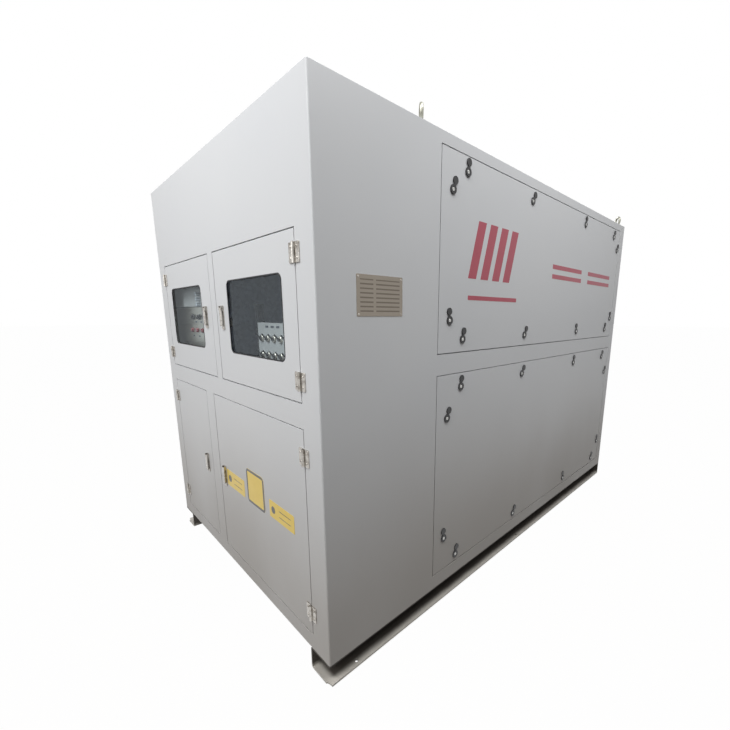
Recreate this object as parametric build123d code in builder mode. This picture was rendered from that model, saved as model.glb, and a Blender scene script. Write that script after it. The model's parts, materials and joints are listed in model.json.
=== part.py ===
"""Generator load bank: a sheet steel enclosure on two skids.

The front cabin holds the controls behind four doors.  Behind a bulkhead, two
tiers of resistor elements are cooled by axial fans that blow from the left
side to the right.  Removable covers close both sides while it is moved.

Frame: +X to the right, +Y to the rear, +Z up.  The doors face -Y.  The origin
is on the ground, at the centre of the anchor hole pattern.
"""

import os

from build123d import *

os.makedirs("parts", exist_ok=True)

# ---------------------------------------------------------------- enclosure
body_width = 1720.0
body_length = 2900.0
body_height = 2000.0
skid_height = 100.0
wall_sheet = 3.0
door_sheet = 2.0
fold_radius = 6.0
return_width = 40.0
tongue_width = 20.0
floor_plate = 6.0
inner_sheet = 3.0
edge_clearance = 3.0

# -------------------------------------------------------------------- skids
skid_plate = 8.0
skid_inside = 728.0
skid_edge_setback = 2.0
skid_fold_radius = 12.0
skid_corner_cut = 28.0
anchor_hole_diameter = 14.0
anchor_edge_distance = 20.0
anchor_pitch = 1308.0
cross_member_width = 60.0
cross_member_height = 40.0
cross_member_wall = 4.0
cross_member_count = 5
cross_member_end_inset = 90.0

# -------------------------------------------------------------------- doors
door_hinge_edge = 748.0
door_gap = 4.0
door_depth = 22.0
door_lip = 15.0
door_seat_gap = 3.0
rebate_lip = 20.0
lower_door_rise = 70.0
lower_door_height = 835.0
upper_door_rise = 1004.0
upper_door_height = 570.0
upper_left_width = 710.0
upper_right_width = 716.0
lower_left_width = 522.0
lower_right_width = 863.0
upper_hinge_inset = 75.0
lower_hinge_inset = 100.0

# ------------------------------------------------------------------ windows
window_width = 488.0
window_height = 311.0
window_corner = 28.0
window_from_hinge_edge = 95.0
window_rise = 131.0
perspex = 4.0
perspex_overlap = 14.0

# ------------------------------------------------------------ door fittings
hinge_height = 65.0
hinge_leaf_width = 32.0
hinge_leaf_thickness = 4.5
knuckle_radius = 6.0
hinge_axis_offset = 6.5
hinge_pin_radius = 3.0
hinge_pin_end = 1.0
hinge_corner = 4.0
hinge_edge_radius = 1.5
knuckle_web_overlap = 1.0
running_clearance = 0.05
knuckle_gap = 0.4
handle_inset = 70.0
handle_height = 106.0
handle_width = 28.0
handle_base = 5.0
handle_corner = 5.0
handle_ear_height = 13.0
handle_ear_width = 3.5
lever_height = 84.0
lever_thickness = 8.0
lever_edge_radius = 2.0
lever_pin_radius = 2.5
lever_pin_drop = 12.0
lever_side_gap = 0.5
lever_seat_gap = 0.4
ear_height = 20.0
latch_spindle_rise = 8.0
latch_spindle_radius = 6.0
latch_hole_gap = 0.3
latch_tongue_length = 42.0
latch_tongue_width = 18.0
latch_tongue_thickness = 3.0
latch_tongue_corner = 6.0

# -------------------------------------------------------------- side covers
cover_front_inset = 594.0
cover_length = 2212.0
cover_depth = 20.0
cover_lip = 15.0
cover_gap = 4.0
cover_seat_gap = 0.3
lower_cover_rise = 72.0
lower_cover_height = 969.0
upper_cover_rise = 1140.0
upper_cover_height = 810.0
lock_columns = [171.0, 751.0, 1494.0, 2070.0]
lock_side_insets = [73.0, 44.0]
upper_lock_row_insets = [56.0, 59.0]
upper_lock_side_insets = [141.0, 146.0]
lower_lock_row_insets = [38.0, 63.0]
lower_lock_side_insets = [169.0, 198.0]
lock_bezel_radius = 19.0
lock_bezel_height = 5.0
lock_barrel_radius = 10.0
lock_recess_radius = 9.0
lock_recess_depth = 3.0
lock_cam_gap = 3.0
lock_cam_thickness = 3.0
lock_cam_width = 14.0
lock_cam_length = 40.0
cap_radius = 16.0
cap_thickness = 4.0
cap_standoff = 5.0
cap_reach = 38.0
cap_strap_width = 9.0
cap_strap_length = 11.0
cap_strap_thickness = 2.5
cap_angles = [78.0, 62.0, 96.0, 70.0, 84.0, 58.0]

# ---------------------------------------------------------- grilles behind
grille_depth = 34.0
grille_bar = 20.0
slat_pitch = 62.0
slat_width = 30.0
slat_thickness = 2.0
slat_angle = 45.0

# ------------------------------------------------------------ inner sheets
bulkhead_depth = 550.0
shelf_rise = 955.0
deck_rise = 1087.0
upper_divider_x = -3.0
lower_divider_x = -168.5
panel_flange = 25.0

# --------------------------------------------------------------------- fans
fan_plate_inset = 300.0
fan_pitch = 1100.0
fan_opening_radius = 356.0
impeller_radius = 350.0
fan_duct_length = 110.0
bellmouth_radius = 24.0
hub_radius = 85.0
hub_width = 70.0
hub_edge_radius = 12.0
blade_count = 7
blade_thickness = 4.0
blade_root_width = 74.0
blade_tip_width = 92.0
blade_root_angle = 48.0
blade_tip_angle = 68.0
blade_root_embed = 12.0
blade_tip_gap = 6.0
impeller_setback = 22.0
motor_radius = 90.0
motor_length = 170.0
motor_flange = 215.0
motor_flange_thickness = 10.0
motor_flange_corner = 20.0
motor_rail_width = 30.0
motor_rail_depth = 32.0
motor_rail_overrun = 30.0
shaft_radius = 14.0
shaft_length = 78.0

# ---------------------------------------------------------------- resistors
element_radius = 19.0
element_clearance = 0.4
element_columns = 3
element_rows = 5
element_column_pitch = 330.0
element_row_pitch = 172.0
element_pin_radius = 5.0
element_pin_length = 28.0
cradle_front = -340.0
cradle_width = 1000.0
cradle_plate = 4.0
cradle_end_inset = 55.0
cradle_rail = 40.0
cradle_rail_wall = 3.0
cradle_overhang = 20.0

# ------------------------------------------------------------- instruments
control_plate_setback = 60.0
control_plate_top = 1442.0
relay_panel_gap = 4.0
relay_panel_height = 344.0
lamp_radius = 11.0
lamp_bezel_radius = 14.0
lamp_height = 12.0
lamp_pitch = 83.0
lamp_row_z = 1315.0
lamp_centre_x = -453.0
knob_pitch = 95.0
knob_row_z = 1388.0
knob_centre_x = -452.0
knob_radius = 15.0
knob_height = 16.0
knob_grip = 8.0
knob_grip_inset = 1.0
knob_rest_turn = 35.0
knob_spindle_radius = 4.0
relay_size = 20.0
relay_pitch = 27.0
relay_top_z = 1510.0
relay_x = -380.0
relay_chamfer = 2.0
switch_panel_setback = 110.0
switch_panel_left = 205.0
switch_panel_top = 1368.0
switch_columns = 6
switch_pitch = 57.0
switch_first_x = 244.0
switch_rows_z = [1300.0, 1228.0]
switch_bezel_radius = 15.0
switch_bezel_height = 8.0
switch_bezel_chamfer = 2.0
switch_boss_radius = 7.0
switch_boss_height = 6.0
switch_lever_radius = 3.5
switch_lever_length = 28.0
switch_lever_angle = 50.0

# ------------------------------------------------------------- power parts
board_width = 620.0
board_height = 560.0
board_thickness = 12.0
board_rise = 180.0
board_standoff = 40.0
standoff_radius = 16.0
standoff_inset = 40.0
busbar_count = 4
busbar_width = 60.0
busbar_thickness = 10.0
busbar_height = 380.0
busbar_pitch = 130.0
terminal_bolt_radius = 8.0
terminal_bolt_length = 36.0
terminal_bolt_inset = 60.0
contactor_width = 90.0
contactor_height = 130.0
contactor_depth = 110.0
contactor_base_depth = 77.0
contactor_top_height = 65.0
contactor_pitch_x = 150.0
contactor_pitch_z = 220.0
contactor_rows = 3
contactor_columns = 3

# ------------------------------------------------------------- lifting eyes
eye_ring_radius = 27.0
eye_rod_radius = 8.0
eye_collar_radius = 20.0
eye_collar_height = 8.0
eye_side_inset = 32.0
eye_front_inset = 505.0
eye_rear_inset = 80.0
eye_turn = 45.0
small_eye_ring_radius = 16.0
small_eye_rod_radius = 5.0
small_eye_collar_radius = 13.0
small_eye_collar_height = 5.0
small_eye_front_inset = 45.0
small_eye_x = -30.0
small_eye_turn = 70.0

# -------------------------------------------------- positions worked out once
half_width = body_width / 2
half_length = body_length / 2
body_bottom = skid_height
body_top = skid_height + body_height
front_y = -half_length
wall_inside = half_width - wall_sheet
inner_half_width = wall_inside - edge_clearance
floor_top = body_bottom + floor_plate
roof_underside = body_top - wall_sheet
bulkhead_y = front_y + bulkhead_depth
bulkhead_rear = bulkhead_y + inner_sheet
rear_inside = half_length - wall_sheet
shelf_top = body_bottom + shelf_rise + inner_sheet
deck_bottom = body_bottom + deck_rise
deck_top = deck_bottom + inner_sheet
chamber_centre_y = (bulkhead_rear + rear_inside) / 2
skid_outside = half_width - skid_edge_setback

front_plane = Plane(origin=(0, front_y, 0), x_dir=(1, 0, 0), z_dir=(0, -1, 0))
right_plane = Plane(origin=(half_width, 0, 0), x_dir=(0, 1, 0), z_dir=(1, 0, 0))

# Each door: which side its hinges are on, its width, its lower edge and height,
# and how far its hinges are from its upper and lower edges.
doors = {
    "upper_left": (-1, upper_left_width, upper_door_rise, upper_door_height, upper_hinge_inset),
    "upper_right": (1, upper_right_width, upper_door_rise, upper_door_height, upper_hinge_inset),
    "lower_left": (-1, lower_left_width, lower_door_rise, lower_door_height, lower_hinge_inset),
    "lower_right": (1, lower_right_width, lower_door_rise, lower_door_height, lower_hinge_inset),
}
covers = {
    "lower": (lower_cover_rise, lower_cover_height, lower_lock_row_insets, lower_lock_side_insets),
    "upper": (upper_cover_rise, upper_cover_height, upper_lock_row_insets, upper_lock_side_insets),
}
tiers = {"lower": (floor_top, deck_bottom), "upper": (deck_top, roof_underside)}
cover_centre_y = front_y + cover_front_inset + cover_length / 2


def door_centre(name):
    """Centre of a door on the front plane, as x and z."""
    side, width, rise, height, _ = doors[name]
    return side * (door_hinge_edge - width / 2), body_bottom + rise + height / 2


def cover_centre(tier):
    """Centre of a cover on the right plane, as y and z."""
    rise, height, _, _ = covers[tier]
    return cover_centre_y, body_bottom + rise + height / 2


def save(part, name):
    """Label a finished piece and write it to its own file."""
    part.label = name
    export_step(part, f"parts/{name}.step")


def rebate(plane, centre, width, height, stop_depth):
    """Folded edge round an opening: a wall going in and a stop lip behind the closing panel."""
    wall_depth = stop_depth + wall_sheet
    with BuildPart() as ring:
        with BuildSketch(plane.offset(-wall_sheet)):
            with Locations(centre):
                Rectangle(width + 2 * wall_sheet, height + 2 * wall_sheet)
                Rectangle(width, height, mode=Mode.SUBTRACT)
        extrude(amount=wall_sheet - wall_depth)
        with BuildSketch(plane.offset(-wall_depth)):
            with Locations(centre):
                Rectangle(width, height)
                Rectangle(width - 2 * rebate_lip, height - 2 * rebate_lip, mode=Mode.SUBTRACT)
        extrude(amount=wall_sheet)
    return ring.part


def pan(plane, centre, width, height, depth, lip):
    """Folded sheet panel: a face, four turned edges and a turned-in lip."""
    with BuildPart() as tray:
        with BuildSketch(plane):
            with Locations(centre):
                Rectangle(width, height)
        extrude(amount=-depth)
        fillet(tray.faces().sort_by(Axis(plane.origin, plane.z_dir))[-1].edges(), door_sheet / 2)
        with BuildSketch(plane.offset(-door_sheet)):
            with Locations(centre):
                Rectangle(width - 2 * door_sheet, height - 2 * door_sheet)
        extrude(amount=2 * door_sheet - depth, mode=Mode.SUBTRACT)
        with BuildSketch(plane.offset(-depth)):
            with Locations(centre):
                Rectangle(width - 2 * lip, height - 2 * lip)
        extrude(amount=door_sheet, mode=Mode.SUBTRACT)
    return tray.part


# ---------------------------------------------------------------- base frame
# Skids: folded channels, open outwards, with anchor holes in the lower flange,
# a cut front corner and a plate welded over the rear end.
skid_width = skid_outside - skid_inside
with BuildPart() as skid_right:
    with BuildSketch(Plane.XZ.offset(half_length)) as skid_profile:
        with Locations((skid_inside + skid_width / 2, skid_height / 2)):
            Rectangle(skid_width, skid_height)
        fillet(skid_profile.vertices().group_by(Axis.X)[0], skid_fold_radius)
        with Locations((skid_inside + skid_plate + skid_width / 2, skid_height / 2)):
            Rectangle(skid_width, skid_height - 2 * skid_plate, mode=Mode.SUBTRACT)
    extrude(amount=-body_length)
    with BuildSketch(Plane.XY):
        with Locations((skid_outside, -half_length)):
            Ellipse(skid_corner_cut, skid_corner_cut / 3)
    extrude(amount=skid_plate, mode=Mode.SUBTRACT)
    with BuildSketch(Plane.XY):
        with Locations((skid_outside - anchor_edge_distance, 0)):
            with GridLocations(0, anchor_pitch, 1, 3):
                Circle(anchor_hole_diameter / 2)
    extrude(amount=skid_plate, mode=Mode.SUBTRACT)
    with BuildSketch(Plane.XZ.offset(-half_length)):
        with Locations((skid_inside + skid_plate / 2 + skid_width / 2, skid_height / 2)):
            Rectangle(skid_width - skid_plate, skid_height - skid_plate)
    extrude(amount=skid_plate)
skid_right.part.label = "skid_right"
export_step(skid_right.part, "parts/skid_right.step")

with BuildPart() as skid_left:
    mirror(skid_right.part, about=Plane.YZ)
skid_left.part.label = "skid_left"
export_step(skid_left.part, "parts/skid_left.step")

# Cross members: box tubes under the floor, between the skids.
cross_member_pitch = (body_length - 2 * cross_member_end_inset) / (cross_member_count - 1)
with BuildPart() as cross_members:
    with BuildSketch(Plane.YZ.offset(-skid_inside)):
        with Locations((0, skid_height - cross_member_height / 2)):
            with GridLocations(cross_member_pitch, 0, cross_member_count, 1):
                Rectangle(cross_member_width, cross_member_height)
                Rectangle(
                    cross_member_width - 2 * cross_member_wall,
                    cross_member_height - 2 * cross_member_wall,
                    mode=Mode.SUBTRACT,
                )
    extrude(amount=2 * skid_inside)
cross_members.part.label = "cross_members"
export_step(cross_members.part, "parts/cross_members.step")

# Floor plate: fills the foot of the enclosure, inside the walls.
with BuildPart() as floor_pan:
    with BuildSketch(Plane.XY.offset(body_bottom)):
        RectangleRounded(2 * wall_inside, 2 * rear_inside, fold_radius - wall_sheet)
    extrude(amount=floor_plate)
floor_pan.part.label = "floor_pan"
export_step(floor_pan.part, "parts/floor_pan.step")

# ----------------------------------------------------------------- enclosure
# Front frame: one sheet folded round both corners, with a rebated opening for
# each door.
with BuildPart() as front_frame:
    with BuildSketch(Plane.XY.offset(body_bottom)) as front_profile:
        with Locations((0, front_y + return_width / 2)):
            Rectangle(body_width, return_width)
        fillet(front_profile.vertices().group_by(Axis.Y)[0], fold_radius)
        with BuildSketch(mode=Mode.SUBTRACT) as front_hollow:
            with Locations((0, front_y + wall_sheet + return_width / 2)):
                Rectangle(2 * wall_inside, return_width)
            fillet(front_hollow.vertices().group_by(Axis.Y)[0], fold_radius - wall_sheet)
    extrude(amount=body_height - wall_sheet)
    for door_name, (_, width, _, height, _) in doors.items():
        opening = (width + 2 * door_gap, height + 2 * door_gap)
        with BuildSketch(front_plane):
            with Locations(door_centre(door_name)):
                Rectangle(*opening)
        extrude(amount=-wall_sheet, mode=Mode.SUBTRACT)
        add(rebate(front_plane, door_centre(door_name), *opening, door_depth + door_seat_gap))
front_frame.part.label = "front_frame"
export_step(front_frame.part, "parts/front_frame.step")

# Side walls: flat sheets with two rebated openings and a joggled tongue behind
# the folded edge at each end.
wall_half_length = half_length - return_width
with BuildPart() as side_wall_right:
    with BuildSketch(right_plane):
        with Locations((0, (body_bottom + roof_underside) / 2)):
            Rectangle(2 * wall_half_length, roof_underside - body_bottom)
        for tier in covers:
            with Locations(cover_centre(tier)):
                Rectangle(
                    cover_length + 2 * cover_gap,
                    covers[tier][1] + 2 * cover_gap,
                    mode=Mode.SUBTRACT,
                )
    extrude(amount=-wall_sheet)
    with BuildSketch(right_plane.offset(-wall_sheet)):
        with Locations((0, (floor_top + roof_underside) / 2)):
            with GridLocations(2 * wall_half_length, 0, 2, 1):
                Rectangle(2 * tongue_width, roof_underside - floor_top)
    extrude(amount=-edge_clearance)
    for tier in covers:
        opening = (cover_length + 2 * cover_gap, covers[tier][1] + 2 * cover_gap)
        add(rebate(right_plane, cover_centre(tier), *opening, cover_depth + cover_seat_gap))
side_wall_right.part.label = "side_wall_right"
export_step(side_wall_right.part, "parts/side_wall_right.step")

with BuildPart() as side_wall_left:
    mirror(side_wall_right.part, about=Plane.YZ)
side_wall_left.part.label = "side_wall_left"
export_step(side_wall_left.part, "parts/side_wall_left.step")

# Rear wall: one plain sheet, folded round both corners like the front frame.
with BuildPart() as rear_wall:
    with BuildSketch(Plane.XY.offset(body_bottom)) as rear_profile:
        with Locations((0, half_length - return_width / 2)):
            Rectangle(body_width, return_width)
        fillet(rear_profile.vertices().group_by(Axis.Y)[-1], fold_radius)
        with BuildSketch(mode=Mode.SUBTRACT) as rear_hollow:
            with Locations((0, rear_inside - return_width / 2)):
                Rectangle(2 * wall_inside, return_width)
            fillet(rear_hollow.vertices().group_by(Axis.Y)[-1], fold_radius - wall_sheet)
    extrude(amount=body_height - wall_sheet)
rear_wall.part.label = "rear_wall"
export_step(rear_wall.part, "parts/rear_wall.step")

# Roof: a sheet welded over the top of the folded walls.
with BuildPart() as roof:
    with BuildSketch(Plane.XY.offset(roof_underside)):
        RectangleRounded(body_width, body_length, fold_radius)
    extrude(amount=wall_sheet)
    fillet(roof.faces().sort_by(Axis.Z)[-1].edges(), wall_sheet / 2)
roof.part.label = "roof"
export_step(roof.part, "parts/roof.step")

# Bulkhead, shelf, dividers and deck: the sheets that part the compartments.
with BuildPart() as bulkhead:
    with BuildSketch(Plane.XZ.offset(-bulkhead_y)):
        with Locations((0, (floor_top + roof_underside) / 2)):
            Rectangle(2 * wall_inside, roof_underside - floor_top)
    extrude(amount=-inner_sheet)
bulkhead.part.label = "bulkhead"
export_step(bulkhead.part, "parts/bulkhead.step")

cabin_front = front_y + wall_sheet
cabin_depth = bulkhead_y - cabin_front
cabin_centre_y = cabin_front + cabin_depth / 2
with BuildPart() as cabin_shelf:
    with BuildSketch(Plane.XY.offset(shelf_top - inner_sheet)):
        with Locations((0, cabin_centre_y)):
            Rectangle(2 * inner_half_width, cabin_depth)
    extrude(amount=inner_sheet)
cabin_shelf.part.label = "cabin_shelf"
export_step(cabin_shelf.part, "parts/cabin_shelf.step")

with BuildPart() as cabin_dividers:
    with BuildSketch(Plane.XY.offset(shelf_top)):
        with Locations((upper_divider_x, cabin_centre_y)):
            Rectangle(inner_sheet, cabin_depth)
    extrude(amount=roof_underside - shelf_top)
    with BuildSketch(Plane.XY.offset(floor_top)):
        with Locations((lower_divider_x, cabin_centre_y)):
            Rectangle(inner_sheet, cabin_depth)
    extrude(amount=shelf_top - inner_sheet - floor_top)
cabin_dividers.part.label = "cabin_dividers"
export_step(cabin_dividers.part, "parts/cabin_dividers.step")

chamber_length = rear_inside - bulkhead_rear
with BuildPart() as mid_deck:
    with BuildSketch(Plane.XY.offset(deck_bottom)):
        with Locations((0, chamber_centre_y)):
            Rectangle(2 * inner_half_width, chamber_length)
    extrude(amount=inner_sheet)
mid_deck.part.label = "mid_deck"
export_step(mid_deck.part, "parts/mid_deck.step")


# --------------------------------------------------------------------- doors
def window_centre(name):
    """Centre of a door's window on the front plane, as x and z."""
    side, _, rise, _, _ = doors[name]
    x = side * (door_hinge_edge - window_from_hinge_edge - window_width / 2)
    return x, body_bottom + rise + window_rise + window_height / 2


def handle_centre(name):
    """Centre of a door's handle on the front plane, as x and z."""
    side, width, _, _, _ = doors[name]
    return side * (door_hinge_edge - width + handle_inset), door_centre(name)[1]


def hinge_heights(name):
    """Heights of a door's two hinge centres."""
    _, _, rise, height, inset = doors[name]
    return [body_bottom + rise + inset, body_bottom + rise + height - inset]


hinge_axis_x = door_hinge_edge + door_gap / 2
hinge_axis_y = front_y - hinge_axis_offset
knuckle_third = hinge_height / 3
handle_spindle_drop = handle_height / 2 - lever_pin_drop - latch_spindle_rise

for door_name, (_, width, rise, height, _) in doors.items():
    with BuildPart() as door:
        add(pan(front_plane, door_centre(door_name), width, height, door_depth, door_lip))
        if rise == upper_door_rise:
            with BuildSketch(front_plane):
                with Locations(window_centre(door_name)):
                    RectangleRounded(window_width, window_height, window_corner)
            extrude(amount=-door_sheet, mode=Mode.SUBTRACT)
        handle_x, handle_z = handle_centre(door_name)
        with BuildSketch(front_plane):
            with Locations((handle_x, handle_z - handle_spindle_drop)):
                Circle(latch_spindle_radius + latch_hole_gap)
        extrude(amount=-door_sheet, mode=Mode.SUBTRACT)
    save(door.part, f"door_{door_name}")

# Windows: clear perspex seated behind the door sheet.
for door_name in ("upper_left", "upper_right"):
    with BuildPart() as window:
        with BuildSketch(front_plane.offset(-door_sheet)):
            with Locations(window_centre(door_name)):
                RectangleRounded(
                    window_width + 2 * perspex_overlap,
                    window_height + 2 * perspex_overlap,
                    window_corner,
                )
        extrude(amount=-perspex)
    save(window.part, f"window_{door_name}")


# -------------------------------------------------------------------- hinges
def hinge_leaf(side, z, on_door):
    """One leaf of a cast hinge; the door's leaf has the middle knuckle."""
    outward = -side if on_door else side
    knuckle_heights = [z] if on_door else [z - knuckle_third, z + knuckle_third]
    bore = hinge_pin_radius + (running_clearance if on_door else 0)
    plate_start = knuckle_radius + knuckle_gap
    plate_width = hinge_leaf_width - plate_start
    web_width = plate_start + knuckle_web_overlap
    knuckle_height = knuckle_third - knuckle_gap
    with BuildPart() as leaf:
        with BuildSketch(front_plane):
            with Locations((side * hinge_axis_x + outward * (plate_start + plate_width / 2), z)):
                RectangleRounded(plate_width, hinge_height, hinge_corner)
        extrude(amount=hinge_leaf_thickness)
        fillet(leaf.faces().sort_by(Axis.Y)[0].edges(), hinge_edge_radius)
        for knuckle_z in knuckle_heights:
            with BuildSketch(Plane.XY.offset(knuckle_z - knuckle_height / 2)):
                with Locations((side * hinge_axis_x, hinge_axis_y)):
                    Circle(knuckle_radius)
                web_x = side * hinge_axis_x + outward * web_width / 2
                with Locations((web_x, front_y - hinge_leaf_thickness / 2)):
                    Rectangle(web_width, hinge_leaf_thickness)
                with Locations((side * hinge_axis_x, hinge_axis_y)):
                    Circle(bore, mode=Mode.SUBTRACT)
            extrude(amount=knuckle_height)
    return leaf.part


def hinge_pin(side, z):
    """Pin through a hinge's three knuckles, a little longer than they are."""
    with BuildPart() as pin:
        with BuildSketch(Plane.XY.offset(z - hinge_height / 2 - hinge_pin_end)):
            with Locations((side * hinge_axis_x, hinge_axis_y)):
                Circle(hinge_pin_radius)
        extrude(amount=hinge_height + 2 * hinge_pin_end)
    return pin.part


with BuildPart() as hinge_frame_leaves:
    for door_name, door_values in doors.items():
        for z in hinge_heights(door_name):
            add(hinge_leaf(door_values[0], z, on_door=False))
            add(hinge_pin(door_values[0], z))
hinge_frame_leaves.part.label = "hinge_frame_leaves"
export_step(hinge_frame_leaves.part, "parts/hinge_frame_leaves.step")


# ------------------------------------------------------------------- handles
def handle_body(x, z):
    """Handle base with two ears, and the latch on its spindle behind the door."""
    pin_z = z + handle_height / 2 - lever_pin_drop
    ear_inside = handle_width / 2 - handle_ear_width
    pin_rise = handle_base + lever_thickness / 2 + lever_seat_gap
    spindle_z = z - handle_spindle_drop
    latch_face = door_depth + door_seat_gap + wall_sheet + latch_tongue_thickness
    with BuildPart() as body:
        with BuildSketch(front_plane):
            with Locations((x, z)):
                RectangleRounded(handle_width, handle_height, handle_corner)
        extrude(amount=handle_base)
        with BuildSketch(front_plane.offset(handle_base)):
            for ear in (-1, 1):
                with Locations((x + ear * (ear_inside + handle_ear_width / 2), pin_z)):
                    Rectangle(handle_ear_width, ear_height)
        extrude(amount=handle_ear_height - handle_base)
        with BuildSketch(Plane.YZ.offset(x - handle_width / 2)):
            with Locations((front_y - pin_rise, pin_z)):
                Circle(lever_pin_radius + running_clearance)
        extrude(amount=handle_width, mode=Mode.SUBTRACT)
        with BuildSketch(front_plane):
            with Locations((x, spindle_z)):
                Circle(latch_spindle_radius)
        extrude(amount=-latch_face)
        with BuildSketch(front_plane.offset(-latch_face)):
            with Locations((x, spindle_z + latch_tongue_length / 2 - latch_tongue_width / 2)):
                RectangleRounded(latch_tongue_width, latch_tongue_length, latch_tongue_corner)
        extrude(amount=-latch_tongue_thickness)
    return body.part


def handle_lever(x, z):
    """Lever with its cross pin; its round end turns between the ears as its foot lifts."""
    pin_z = z + handle_height / 2 - lever_pin_drop
    pin_y = front_y - handle_base - lever_seat_gap - lever_thickness / 2
    lever_width = handle_width - 2 * handle_ear_width - 2 * lever_side_gap
    straight = lever_height - lever_thickness / 2
    with BuildPart() as lever:
        with BuildSketch(Plane.YZ.offset(x - lever_width / 2)):
            with Locations((pin_y, pin_z)):
                Circle(lever_thickness / 2)
            with Locations((pin_y, pin_z - straight / 2)):
                Rectangle(lever_thickness, straight)
        extrude(amount=lever_width)
        outer = lever.faces().filter_by(Axis.Y).sort_by(Axis.Y)[0]
        rim = outer.edges().filter_by(Axis.Z) + outer.edges().sort_by(Axis.Z)[:1]
        fillet(rim, lever_edge_radius)
        with BuildSketch(Plane.YZ.offset(x - handle_width / 2)):
            with Locations((pin_y, pin_z)):
                Circle(lever_pin_radius)
        extrude(amount=handle_width)
    return lever.part


for door_name, (side, _, _, _, _) in doors.items():
    handle_x, handle_z = handle_centre(door_name)
    with BuildPart() as hardware:
        add(handle_body(handle_x, handle_z))
        for z in hinge_heights(door_name):
            add(hinge_leaf(side, z, on_door=True))
    save(hardware.part, f"fittings_{door_name}")
    save(handle_lever(handle_x, handle_z), f"handle_{door_name}")


# --------------------------------------------------------------- side covers
def lock_places(tier):
    """Lock centres on a cover, as y and z on the right plane."""
    rise, height, row_insets, side_insets = covers[tier]
    front_edge = front_y + cover_front_inset
    bottom = body_bottom + rise
    rows = [bottom + row_insets[0], bottom + height - row_insets[1]]
    columns = [front_edge + column for column in lock_columns]
    sides = [front_edge + lock_side_insets[0], front_edge + cover_length - lock_side_insets[1]]
    side_rows = [bottom + side_insets[0], bottom + height - side_insets[1]]
    places = [(y, z) for z in rows for y in columns]
    places += [(y, z) for y in sides for z in side_rows]
    return places


def cam_lock(y, z, cap_angle):
    """Quarter-turn lock with its cam turned clear and its dust cap hanging open."""
    barrel_depth = cover_depth + cover_seat_gap + wall_sheet + lock_cam_gap
    cap_plane = right_plane.offset(cap_standoff)
    cap_middle = cap_reach / 2
    with BuildPart() as lock:
        with BuildSketch(right_plane):
            with Locations((y, z)):
                Circle(lock_bezel_radius)
        extrude(amount=lock_bezel_height)
        with BuildSketch(right_plane.offset(lock_bezel_height)):
            with Locations((y, z)):
                Circle(lock_recess_radius)
        extrude(amount=-lock_recess_depth, mode=Mode.SUBTRACT)
        with BuildSketch(right_plane):
            with Locations((y, z)):
                Circle(lock_barrel_radius)
        extrude(amount=-barrel_depth)
        with BuildSketch(right_plane.offset(-barrel_depth)):
            with Locations((y, z)):
                SlotOverall(lock_cam_length, lock_cam_width, rotation=90)
        extrude(amount=-lock_cam_thickness)
        with BuildSketch(cap_plane):
            with Locations(Location((y, z, 0), (0, 0, cap_angle))):
                with Locations((cap_reach, 0)):
                    Circle(cap_radius)
        extrude(amount=-cap_thickness)
        with BuildSketch(cap_plane):
            with Locations(Location((y, z, 0), (0, 0, cap_angle))):
                with Locations((cap_middle, 0)):
                    Rectangle(cap_strap_length, cap_strap_width)
        extrude(amount=-cap_strap_thickness)
    return lock.part


for tier, (_, height, _, _) in covers.items():
    with BuildPart() as cover_right:
        add(pan(right_plane, cover_centre(tier), cover_length, height, cover_depth, cover_lip))
        with BuildSketch(right_plane):
            for place in lock_places(tier):
                with Locations(place):
                    Circle(lock_barrel_radius + latch_hole_gap)
        extrude(amount=-door_sheet, mode=Mode.SUBTRACT)
    save(cover_right.part, f"cover_right_{tier}")
    with BuildPart() as cover_left:
        mirror(cover_right.part, about=Plane.YZ)
    save(cover_left.part, f"cover_left_{tier}")

    with BuildPart() as locks_right:
        for index, (y, z) in enumerate(lock_places(tier)):
            add(cam_lock(y, z, cap_angles[index % len(cap_angles)]))
    save(locks_right.part, f"locks_right_{tier}")
    with BuildPart() as locks_left:
        mirror(locks_right.part, about=Plane.YZ)
    save(locks_left.part, f"locks_left_{tier}")

# Grilles: slatted frames fixed behind the stop lips of the side openings.
grille_plane = right_plane.offset(-(cover_depth + cover_seat_gap + wall_sheet))
with BuildPart() as outlet_grilles:
    for tier in covers:
        frame_length = cover_length + 2 * cover_gap
        frame_height = covers[tier][1] + 2 * cover_gap
        with BuildSketch(grille_plane):
            with Locations(cover_centre(tier)):
                Rectangle(frame_length, frame_height)
                Rectangle(
                    frame_length - 2 * grille_bar,
                    frame_height - 2 * grille_bar,
                    mode=Mode.SUBTRACT,
                )
        extrude(amount=-grille_depth)
        slat_count = int((frame_height - 2 * grille_bar) / slat_pitch)
        slat_x = grille_plane.origin.X - grille_depth + slat_width / 2
        with BuildSketch(Plane.XZ.offset(-(cover_centre_y - frame_length / 2 + grille_bar))):
            with Locations((slat_x, cover_centre(tier)[1])):
                with GridLocations(0, slat_pitch, 1, slat_count):
                    Rectangle(slat_width, slat_thickness, rotation=slat_angle)
        extrude(amount=-(frame_length - 2 * grille_bar))
outlet_grilles.part.label = "outlet_grilles"
export_step(outlet_grilles.part, "parts/outlet_grilles.step")

with BuildPart() as inlet_grilles:
    mirror(outlet_grilles.part, about=Plane.YZ)
inlet_grilles.part.label = "inlet_grilles"
export_step(inlet_grilles.part, "parts/inlet_grilles.step")

# --------------------------------------------------------------------- fans
fan_plate_x = -half_width + fan_plate_inset
fan_places = [
    (chamber_centre_y + step * fan_pitch / 2, (low + high) / 2)
    for low, high in tiers.values()
    for step in (-1, 1)
]
fan_names = ["lower_front", "lower_rear", "upper_front", "upper_rear"]

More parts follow.
